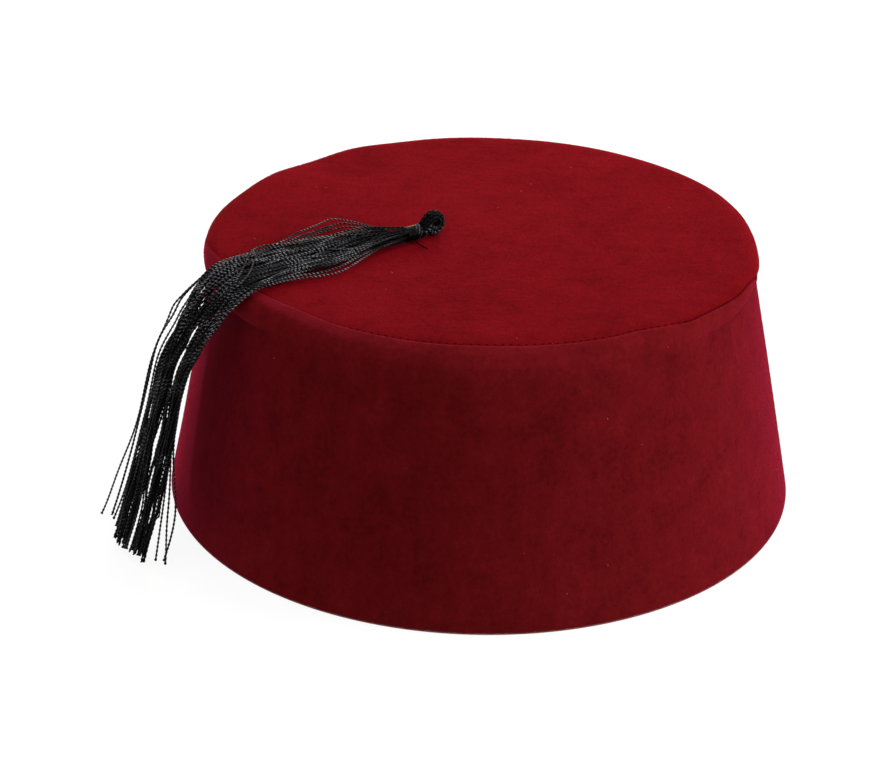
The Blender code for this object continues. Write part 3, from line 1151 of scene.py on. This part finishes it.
STRAYS = (
    Stray((0.5, 0.9, 1.0, 0.85, 0.95, 1.15, 1.25, 1.38, 1.44, 1.41, 1.38, 1.65, 1.78), 0.99),
    Stray((0.7, 1.0, 0.95, 0.8, 1.0, 1.18, 1.22, 1.24, 1.26, 1.34, 1.28, 1.22, 1.18), 0.95),
    Stray((0.3, 0.8, 0.9, 0.75, 0.9, 1.1, 1.1, 0.98, 0.96, 1.02, 1.04, 1.02, 1.12), 0.96),
    Stray((0.9, 3.2, 1.86, 1.1, 0.92, 1.05, 0.94, 0.78, 0.68, 0.8, 0.82, 0.9, 0.8), 0.97),
    Stray((0.8, 2.6, 1.56, 0.96, 0.82, 0.95, 0.8, 0.62, 0.6, 0.7, 0.7, 0.78, 0.66), 1.0),
    Stray((0.7, 2.1, 1.36, 0.84, 0.9, 1.1, 1.06, 0.86, 0.74, 0.9, 0.96, 1.0, 0.97), 0.98),
    Stray((1.0, 2.7, 1.46, 0.76, 0.66, 0.86, 0.6, 0.4, 0.3, 0.35, 0.42, 0.5, 0.52), 0.99),
    Stray((-0.8, -0.5, -0.7, -1.0, -0.84, -0.7, -0.8, -0.8, -0.72, -0.56, -0.55, -0.6, -0.46), 0.97),
    Stray((-0.6, -0.45, -0.55, -0.82, -0.7, -0.62, -0.76, -0.78, -0.66, -0.5, -0.5, -0.42, -0.38), 1.0),
    Stray((-0.9, -0.6, -0.5, -0.58, -0.6, -0.64, -0.82, -0.84, -0.74, -0.56, -0.6, -1.22, -1.16), 0.97),
    Stray((-0.3, -0.55, -0.45, -0.5, -0.54, -0.58, -0.74, -0.76, -0.7, -0.54, -0.56, -0.74, -0.88), 0.99),
    Stray((-0.5, -0.55, -0.5, -0.54, -0.56, -0.6, -0.78, -0.8, -0.72, -0.55, -0.56, -0.94, -1.22), 0.98),
    Stray((0.6, 1.3, 0.8, 0.5, 0.9, 0.1, -0.6, -0.6, -0.5, -0.45, -0.4, -0.3, -0.24), 0.99, 1.15),
    Stray((-0.2, 0.3, 0.7, 0.6, 0.75, -0.2, -0.3, -0.2, -0.1, 0.2, 0.35, 0.3, 0.33), 0.98, 1.1),
    Stray((-0.6, -0.1, -0.4, -0.3, 0.2, 0.8, 0.7, 0.55, 0.4, 0.3, 0.2, 0.1, 0.14), 1.01, 1.05),
    Stray((0.4, 0.2, -0.3, 0.1, 0.5, 0.3, 0.4, 0.5, 0.6, 0.4, 0.5, 0.6, 0.62), 0.98, 1.08),
)


class Cord(NamedTuple):
    """One cord to grow: its path, its radius along it and a random share from 0 to 1 that sets the
    strength of its painted highlights and the phase of its twist.
    """

    path: Array
    radius: Array
    tint: float
    layer: float = 0.5


# The binding's loose thread end, lying on the felt in front of the binding.
LOOSE_END = (
    (-21.2 * MM, -1.6 * MM, 81.4 * MM),
    (-20.6 * MM, -3.6 * MM, 80.7 * MM),
    (-18.8 * MM, -6.6 * MM, 80.5 * MM),
    (-16.4 * MM, -9.4 * MM, 80.5 * MM),
)


@dataclass
class Tassel:
    """A tassel of twisted strands, folded over at its head, bound and laid over the rim."""

    crown: CrownShape = field(default_factory=CrownShape)
    head_at: tuple[float, float] = (-15.2 * MM, 0.6 * MM)
    cord: float = 0.58 * MM
    rest_gap: float = 0.3 * MM
    clearance: float = 0.3 * MM
    loop_radius: float = 2.3 * MM
    loop_cord: float = 1.6 * MM
    loop_outer: int = 14
    loop_count: int = 22
    fold_radius: float = 2.15 * MM
    fold_reach: float = 1.50 * MM
    fold_cord: float = 0.70 * MM
    loose_end: tuple[Place, ...] = LOOSE_END
    binding_length: float = 5.5 * MM
    binding_radius: float = 2.3 * MM
    binding_thread: float = 0.36 * MM
    binding_turns: float = 15.5
    binding_slack: float = 0.30 * MM
    row_steps: int = 8
    give: float = 0.34
    fan_width: float = 27.0 * MM
    layers: float = 2.2 * MM
    lean: float = 0.25
    bearing: float = -151.0
    stand: float = 20.8 * MM
    stand_flare: float = 0.09
    tip_height: float = 3.2 * MM
    strands: int = 60
    crossing: float = 0.07
    sway: float = 0.17 * MM
    lay: float = 2.9 * MM
    lobes: float = 0.36
    step: float = 0.40 * MM
    sides: int = 8
    neck_girth: float = 0.62
    fray: float = 0.30
    seed: int = 11

    def __post_init__(self) -> None:
        """Works out the way that the tassel lies."""
        angle = math.radians(self.bearing)
        rim = Vector((math.cos(angle), math.sin(angle), 0.0)) * self.crown.rim_radius
        self.along = np.array((rim - Vector((*self.head_at, 0.0))).normalized())
        self.across = np.array((self.along[1], -self.along[0], 0.0))
        self.floor = self.crown.height + self.rest_gap
        self.binding_start = self.loop_radius + self.loop_cord + 2 * self.clearance
        self.binding_end = self.binding_start + self.binding_length
        self.dice = np.random.default_rng(self.seed)
        self.weights = smooth_through(np.eye(len(OVER_TOP) + len(DOWN_SIDE)), self.row_steps)
        self.rows = np.linspace(0.0, len(self.weights[0]) - 1.0, len(self.weights))

    def _stem(self, distance: float) -> Array:
        """A point on the stem's axis at a distance from the middle of the head."""
        middle = np.array((*self.head_at, self.floor + self.binding_radius))
        return middle + self.along * distance

    def strand_path(self, across: Array, layer: Array, length: float) -> Array:
        """The path of one strand down the fan.

        Args:
            across: Its place across the fan along its way, from -1 at the front to 1 at the left.
            layer: From 0 on the felt to 1 on top of the bunch, along its way.
            length: Its fall as a share of the whole.

        Returns:
            Points along it.
        """
        crown = self.crown
        lift = self.floor + self.cord / 2 + layer * self.layers
        start = self._stem(self.binding_end + self.clearance)
        angle = math.radians(self.bearing)
        reach = float(RolledEdge(crown, np.array([self.bearing])).centre_radius[0])
        rim = np.array((reach * math.cos(angle), reach * math.sin(angle), 0.0))
        grid = []
        for row in OVER_TOP:
            gather = eased(row.far / OVER_TOP[2].far)
            side = self.fan_width * (row.shift + row.breadth / 2 * across)
            spots = start + (rim - start) * row.far + self.across * side[:, None]
            neck = start[2] + (layer - 0.5) * 1.5 * self.binding_radius
            spots[:, 2] = neck + (lift - neck) * gather
            grid.append(spots)
        for row in DOWN_SIDE:
            fallen = (1 - row.far) * length
            height = crown.height * (1 - fallen) + self.tip_height * fallen
            stand = row.shift * self.stand * (1 + self.stand_flare * across)
            radius = crown.band_radius(height) + stand + (layer - 0.5) * self.layers
            turn = angle - self.fan_width * row.breadth / 2 * across / radius
            grid.append(polar(np.degrees(turn), radius, np.full_like(radius, height)))
        return np.einsum("nk,knc->nc", self.weights, np.array(grid))

    def _parted(self, place: Array) -> Array:
        """Moves a strand aside where the bunch parts.

        Args:
            place: Its place across the fan along its way.

        Returns:
            Its place with the partings open.
        """
        for slit in PARTINGS:
            share = np.clip((self.rows - slit.start) / (slit.end - slit.start), 0.0, 1.0)
            off = place - slit.place - slit.drift * share
            width = slit.width * np.sin(math.pi * share) ** 0.8
            pushed = width + np.abs(off) * (1 - width / self.give)
            aside = np.where(np.abs(off) < self.give, pushed, np.abs(off))
            side = 1.0 if off[np.argmax(width)] > 0 else -1.0
            moved = slit.place + slit.drift * share + side * aside
            place = np.where(width > 0.01, moved, place)
        return place

    def _bunch(self) -> list[tuple[Array, Array, float]]:
        """Lays out the bunch.

        Returns:
            For each strand its places across the fan, its layers and its length.
        """
        rows = OVER_TOP + DOWN_SIDE
        low = self.weights @ np.array([row.low for row in rows])
        high = self.weights @ np.array([row.high for row in rows])
        order = self.dice.permutation(self.strands)
        found = []
        for number in range(self.strands):
            walk = np.cumsum(self.dice.normal(0.0, self.crossing, (2, len(rows))), axis=1)
            walk -= walk.mean(axis=1, keepdims=True)
            walk[:, 0] *= 0.5
            drift, shuffle = walk @ self.weights.T
            share = (number + 0.5) / self.strands + drift
            share = 1 - np.abs(1 - np.abs(share))
            layer = np.clip((order[number] + 0.5) / self.strands + shuffle, 0.0, 1.0)
            place = self._parted(low + (high - low) * share)
            across = place - self.lean * (layer - 0.5)
            found.append((across, layer, float(self.dice.uniform(0.975, 1.027))))
        return found

    def strand_cords(self) -> list[Cord]:
        """The strands as cords.

        Returns:
            Each strand of the bunch, then each stray.
        """
        level = np.ones_like(self.rows)
        strays = [(self.weights @ np.array(s.across), level * s.layer, s.length) for s in STRAYS]
        found = []
        for across, layer, length in self._bunch() + strays:
            fall = self.strand_path(across, layer, length)
            inside = fall[0] - self.along * (self.binding_length * 0.6)
            inside = inside + (self._stem(self.binding_end * 0.8) - inside) * 0.6
            path = np.vstack([inside + (fall[0] - inside) * share for share in (0.0, 0.5)] + [fall])
            share = np.linspace(0.0, 1.0, len(path))
            dice = self.dice.uniform(-1.0, 1.0, (2, 4))
            waves = [
                size[:, None] * np.sin(share * math.tau * 2.5 * (wave + 1) + 6 * size[0])
                for wave, size in enumerate(dice.T)
            ]
            sway = sum(waves) * eased((share - 0.12) * 4) * self.sway
            path = path + self.across * sway[0][:, None] + self.along * sway[1][:, None]
            path[:, 2] = np.maximum(path[:, 2], self.cord)
            full = self.neck_girth + (1 - self.neck_girth) * eased((share - 0.06) / 0.2)
            frayed = 1 + self.fray * np.clip((share - 0.987) / 0.013, 0.0, 1.0)
            radius = self.cord / 2 * full * frayed * self.dice.uniform(0.92, 1.08)
            tint = float(self.dice.uniform())
            # Strays get stronger painted highlights.
            if len(found) >= self.strands:
                tint = 0.7 + 0.3 * tint
            found.append(Cord(path, radius, tint, float(layer.mean())))
        return found

    def loop_cords(self) -> list[Cord]:
        """The cords of the head.

        Returns:
            The cords that fold over there, then the binding's loose end.
        """
        up = np.array((0.0, 0.0, 1.0))
        middle = np.array((*self.head_at, self.floor + self.loop_cord + self.loop_radius))
        turns = np.radians((38, 66, 98, 132, 168, 204, 240, 274, 302, 326))
        fold = self.fold_radius
        ring = [middle + fold * (self.along * math.cos(a) + up * math.sin(a)) for a in turns]
        deep = self._stem(self.binding_start + 0.4 * self.binding_length)
        mouth = self._stem(self.binding_start)
        rising = [deep + up * 0.4 * MM, mouth + up * 0.8 * MM]
        falling = [mouth - up * 0.7 * MM, deep - up * 0.4 * MM]
        spine = smooth_through(np.array(rising + ring + falling), 6)
        ahead = np.gradient(spine, axis=0)
        ahead /= np.linalg.norm(ahead, axis=1)[:, None]
        normal = np.cross(self.across, ahead)
        share = np.linspace(0.0, 1.0, len(spine))
        squeeze = 0.45 + 0.55 * eased(np.minimum(share, 1 - share) * 6)
        found = []
        for number in range(self.loop_count):
            outer = number < self.loop_outer
            around = self.loop_outer if outer else self.loop_count - self.loop_outer
            reach = self.fold_reach * (1.0 if outer else 0.5) * self.dice.uniform(0.92, 1.06)
            turn = math.tau * number / around + 1.5 * share + self.dice.uniform(-0.22, 0.22)
            side = (reach * squeeze * np.sin(turn))[:, None]
            out = (reach * squeeze * np.cos(turn))[:, None]
            path = spine + self.across * side + normal * out
            path[:, 2] = np.maximum(path[:, 2], self.crown.height + 0.45 * MM)
            radius = np.full(len(path), self.fold_cord / 2) * (0.7 + 0.3 * squeeze)
            found.append(Cord(path, radius, float(self.dice.uniform())))
        end = smooth_through(np.array(self.loose_end), 5)
        found.append(Cord(end, np.full(len(end), 0.17 * MM), 0.2))
        return found

    def cord_growth(self) -> Growth:
        """The tree that turns runs of edges into plied, twisted cord.

        Returns:
            The tree.
        """
        sizes = {"step": self.step, "lay": self.lay, "lobes": self.lobes, "sides": self.sides}
        growth = Growth("plied_cord", **sizes)
        graph, add, size = growth.graph, growth.add, growth.size
        curve = add("MeshToCurve", Mesh=size("Geometry"))
        curve = add("CurveSplineType", settings={"spline_type": "CATMULL_ROM"}, Curve=curve)
        curve = add("ResampleCurve", settings={"mode": "LENGTH"}, Curve=curve, Length=size("step"))
        tint = add("InputNamedAttribute", Name="tint")
        thickness = add("InputNamedAttribute", Name="thickness")
        along = add("SplineParameter", outlet="Length")
        tilt = along * math.tau / size("lay") * (tint * 0.3 + 0.85) + tint * 40.0
        curve = add("SetCurveTilt", Curve=curve, Tilt=tilt)
        spot = add("InputPosition")
        ring = add("CurvePrimitiveCircle", Resolution=size("sides"), Radius=1.0)
        ring = growth.store(ring, "girth", spot, "FLOAT_VECTOR")
        wide, flat, _ = graph.parts(spot)
        swell = (wide * wide - flat * flat) * size("lobes") + 1.0
        ring = add("SetPosition", Geometry=ring, Position=graph.vector("SCALE", spot, Scale=swell))
        growth.sweep(curve, ring, thickness)
        return growth

    def binding_growth(self) -> Growth:
        """The tree that winds the binding's thread.

        Returns:
            The tree.
        """
        growth = Growth(
            "wound_thread",
            turns=self.binding_turns,
            radius=self.binding_radius - self.binding_thread / 2,
            length=self.binding_length,
            thread=self.binding_thread / 2,
            slack=self.binding_slack,
            middle=tuple(self._stem(self.binding_start)),
            heading=tuple(Vector(self.along).to_track_quat("Z", "Y").to_euler()),
        )
        graph, add, size = growth.graph, growth.add, growth.size
        winding = {"Rotations": size("turns"), "Height": size("length"), "Resolution": 28}
        winding.update({"Start_Radius": size("radius"), "End_Radius": size("radius")})
        place = {"Translation": size("middle"), "Rotation": size("heading")}
        curve = add("Transform", Geometry=add("CurveSpiral", **winding), **place)
        wander = {"Vector": add("InputPosition"), "Scale": 1 / (0.9 * MM), "outlet": "Color"}
        stray = graph.add("ShaderNodeTexNoise", **wander)
        stray = graph.vector("SUBTRACT", stray, (0.5, 0.5, 0.5))
        offset = graph.vector("SCALE", stray, Scale=size("slack"))
        curve = add("SetPosition", Geometry=curve, Offset=offset)
        ring = add("CurvePrimitiveCircle", Resolution=7, Radius=1.0)
        growth.sweep(curve, ring, size("thread"))
        return growth

    @staticmethod
    def _host(name: str, cords: Sequence[Cord]) -> Any:
        """The runs of edges that a set of cords grows from."""
        return polylines(
            name,
            [cord.path for cord in cords],
            thickness=[cord.radius for cord in cords],
            tint=[np.full(len(cord.path), cord.tint) for cord in cords],
        )

    def build(self, finish: Any) -> None:
        """Makes and dresses the tassel's pieces.

        Args:
            finish: The cords' material.
        """
        growth = self.cord_growth()
        cords = self.strand_cords()
        bunch = sorted(cords[: self.strands], key=lambda cord: cord.layer)
        third = len(bunch) // 3
        parts = {
            "strands_under": bunch[:third],
            "strands_middle": bunch[third : 2 * third],
            "strands_over": bunch[2 * third :],
            "strands_stray": cords[self.strands :],
        }
        for name, part in parts.items():
            dress(growth.grow(name, self._host(name, part), finish), None, "cord", "tassel_skirt")
        loop = growth.grow("head_cords", self._host("head_cords", self.loop_cords()), finish)
        dress(loop, None, "cord", "tassel_loop")
        bare = bpy.data.meshes.new("wound_thread")
        plain = CordFinish(gloss=0.05).material("binding_thread")
        thread = self.binding_growth().grow("binding_thread", bare, plain)
        dress(thread, None, "cord", "tassel_binding")


# The studio


@dataclass(frozen=True)
class Lamp:
    """A soft box that faces the hat."""

    name: str
    place: Place
    width: float
    length: float
    power: float
    colour: tuple[float, float, float] = (1.0, 1.0, 1.0)


@dataclass
class Studio:
    """A pale floor, soft lamps and the camera."""

    floor_radius: float = 4.0
    floor_drop: float = 0.15 * MM
    floor_faces: int = 96
    floor_tones: tuple[float, float] = (0.13, 0.15)
    floor_glow: float = 0.88
    room_light: float = 0.08
    aim: Place = (0.0, 0.0, 0.04)
    # The overhead lamp is the main one, and the right one lights the wall's far side.
    lamps: tuple[Lamp, ...] = (
        Lamp("overhead", (0.06, -0.18, 1.45), 1.60, 1.60, 20.5),
        Lamp("back", (0.02, 0.45, 0.35), 0.50, 0.26, 2.5),
        Lamp("right", (1.46, -0.12, 0.50), 0.60, 0.70, 26.0),
        Lamp("left_back", (-0.46, 1.42, 0.045), 0.10, 0.05, 7.5, (1.0, 0.46, 0.12)),
    )
    camera_place: Place = (-0.00018, -0.80284, 0.43899)
    camera_azimuth: float = 0.803
    camera_elevation: float = 26.997
    camera_roll: float = -0.8425
    lens: float = 119.71
    sensor: float = 36.0

    def floor(self) -> None:
        """Lays the floor."""
        shape = bmesh.new()
        size = {"segments": self.floor_faces, "radius": self.floor_radius}
        down = Matrix.Translation((0.0, 0.0, -self.floor_drop))
        bmesh.ops.create_circle(shape, cap_ends=True, matrix=down, **size)
        mesh = bpy.data.meshes.new("floor")
        shape.to_mesh(mesh)
        shape.free()
        floor = add_object("floor", mesh)
        surface = Surface("pale_floor")
        patch = surface.graph.noise(surface.place, 0.4, 2.0)
        tone = surface.graph.blend(patch, *((tone, tone, tone, 1.0) for tone in self.floor_tones))
        surface.set(Base_Color=tone, Roughness=0.9, Specular_IOR_Level=0.0)
        surface.set(Emission_Color=(1.0, 1.0, 1.0, 1.0), Emission_Strength=self.floor_glow)
        mesh.materials.append(surface.material)
        floor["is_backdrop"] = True

    def lights(self) -> None:
        """Hangs the lamps and lights the room."""
        for lamp in self.lamps:
            data = bpy.data.lights.new(lamp.name, "AREA")
            data.shape = "RECTANGLE"
            data.size, data.size_y = lamp.width, lamp.length
            data.energy = lamp.power
            data.color = lamp.colour
            box = add_object(lamp.name, data)
            box.location = lamp.place
            back = Vector(lamp.place) - Vector(self.aim)
            box.rotation_euler = back.to_track_quat("Z", "Y").to_euler()
        world = bpy.data.worlds.new("room")
        world.use_nodes = True
        room = world.node_tree.nodes["Background"]
        room.inputs["Color"].default_value = (1.0, 1.0, 1.0, 1.0)
        room.inputs["Strength"].default_value = self.room_light
        bpy.context.scene.world = world

    def camera(self) -> None:
        """Sets the camera at the photograph's viewing angle."""
        azimuth, elevation = math.radians(self.camera_azimuth), math.radians(self.camera_elevation)
        flat = math.cos(elevation)
        back = Vector((math.sin(azimuth) * flat, -math.cos(azimuth) * flat, math.sin(elevation)))
        right = Vector((math.cos(azimuth), math.sin(azimuth), 0.0))
        up = back.cross(right)
        roll = math.radians(self.camera_roll)
        turned_right = right * math.cos(roll) - up * math.sin(roll)
        turned_up = right * math.sin(roll) + up * math.cos(roll)
        data = bpy.data.cameras.new("camera")
        data.lens, data.sensor_width = self.lens, self.sensor
        camera = add_object("camera", data)
        axes = Matrix((turned_right, turned_up, back)).transposed().to_4x4()
        camera.matrix_world = Matrix.Translation(self.camera_place) @ axes
        bpy.context.scene.camera = camera

    def build(self) -> None:
        """Makes the whole studio."""
        self.floor()
        self.lights()
        self.camera()
        bpy.context.scene.view_settings.view_transform = "Standard"


def write_sizes() -> None:
    """Works out the CAD model's box and the visual model's box."""
    boxes = {"cad": CAD_BOX, "visual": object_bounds()}
    {name: [list(corner) for corner in box] for name, box in boxes.items()}


def main() -> None:
    """Builds the hat, the tassel and the studio."""
    logging.basicConfig(level=logging.INFO, format="%(name)s: %(message)s")
    FeltHat().build()
    Tassel().build(CordFinish().material("silky_cord"))
    Studio().build()
    write_sizes()


if __name__ == "__main__":
    main()
